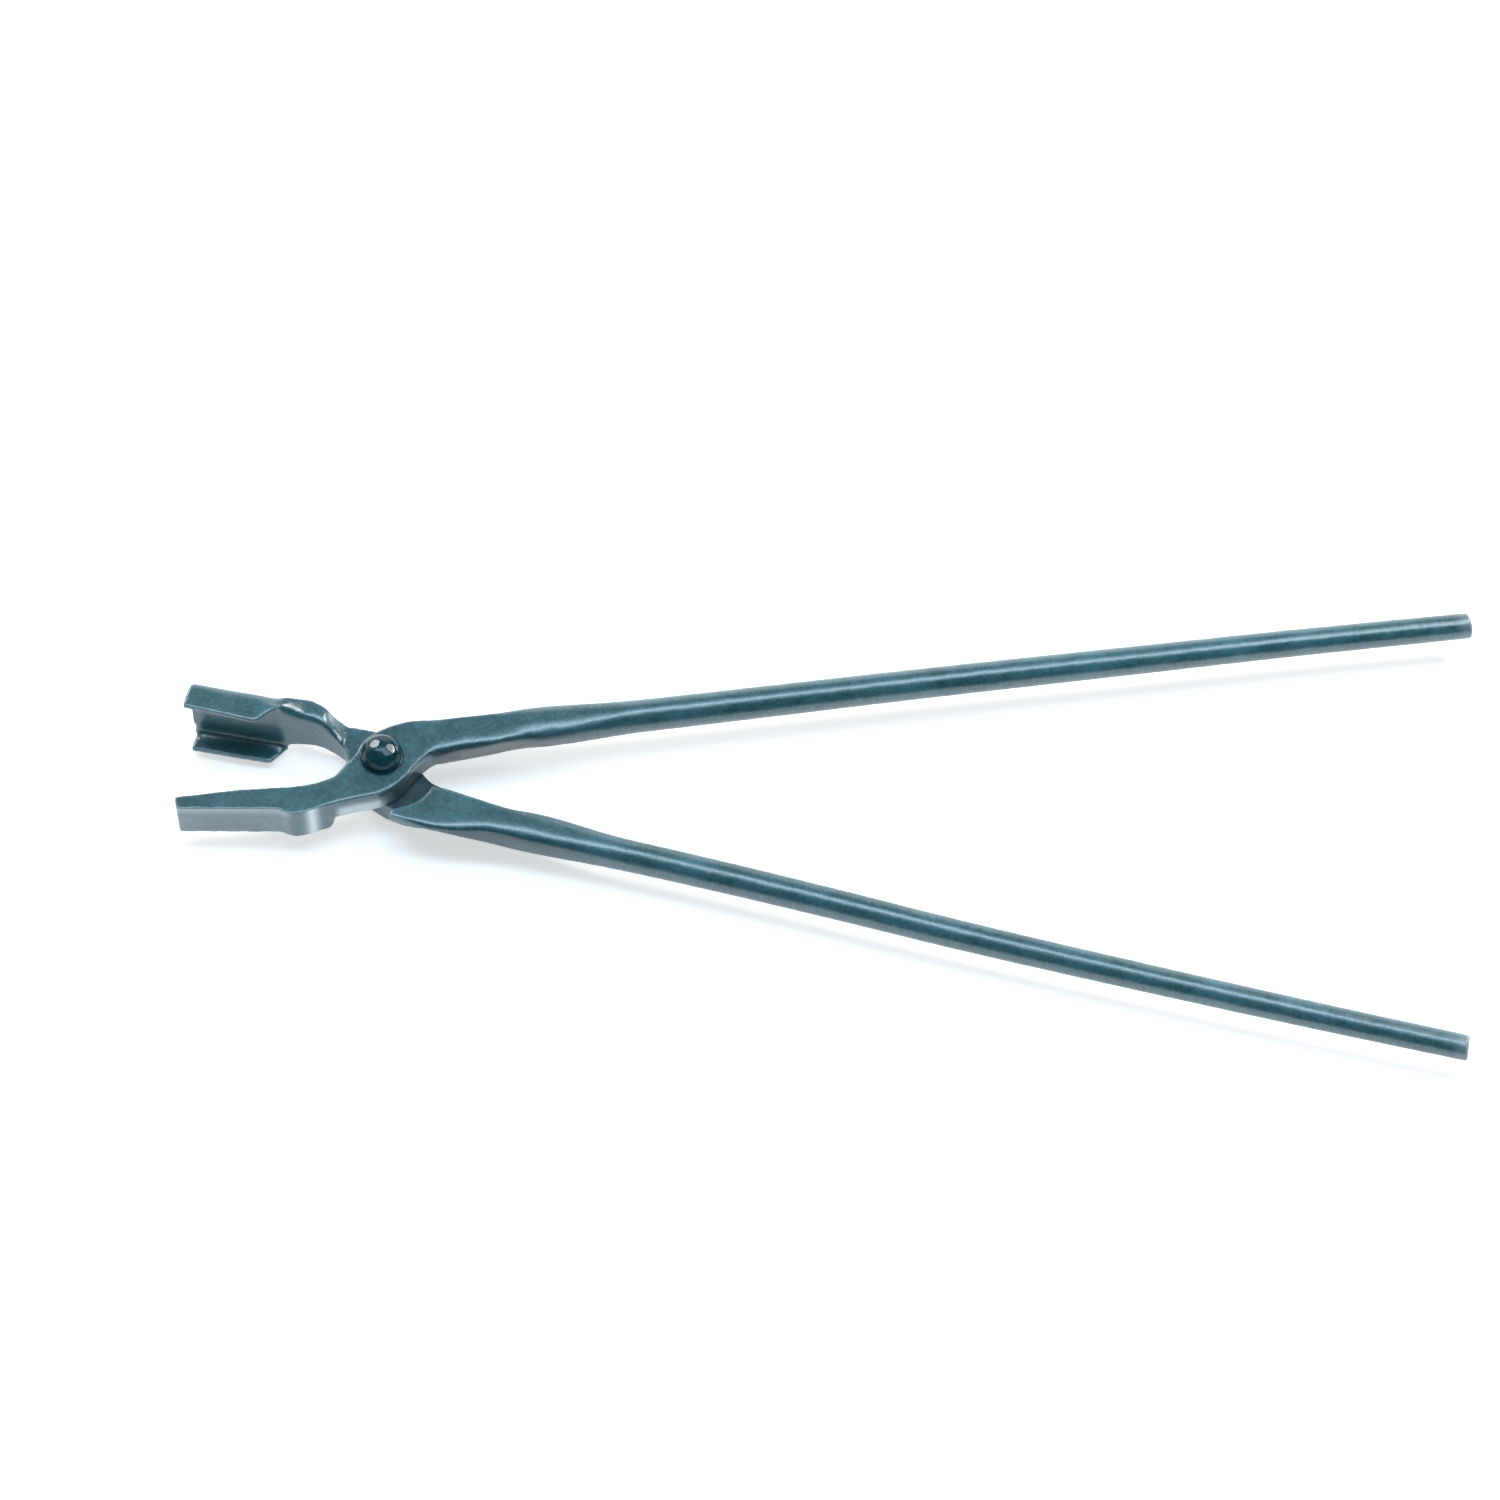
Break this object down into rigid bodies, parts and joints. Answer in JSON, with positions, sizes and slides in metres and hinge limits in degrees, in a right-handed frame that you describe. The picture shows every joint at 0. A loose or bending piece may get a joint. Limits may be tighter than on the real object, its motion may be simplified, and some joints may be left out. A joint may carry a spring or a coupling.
{
  "type": "blacksmith tongs",
  "caption": "Riveted forge tongs with a lipped box jaw, a plain flat jaw that closes into it, and long round tapering reins.",
  "frame": {"origin": "on the rivet axis, at the small flat hammered on the rivet's tail, which is the lowest point of the tongs as they lie", "axes": "+Z along the rivet axis, up through the domed head; -X towards the jaws and +X towards the ends of the reins; +Y towards the box jaw"},
  "size_m": [0.4882, 0.1974, 0.0352],
  "materials": {
    "lacquered_steel": "blue-green glossy lacquer over forged steel",
    "rivet_steel": "dark glossy lacquer over steel"
  },
  "bodies": {
    "box_half": {"box_jaw_half": "lacquered_steel", "rivet": "rivet_steel"},
    "flat_half": {"flat_jaw_half": "lacquered_steel"}
  },
  "joints": [
    {"name": "tongs_pivot", "type": "hinge", "parent": "box_half", "child": "flat_half", "pos_m": [0, 0, 0.01625], "axis": [0, 0, 1], "range_deg": [-23, 28]}
  ]
}
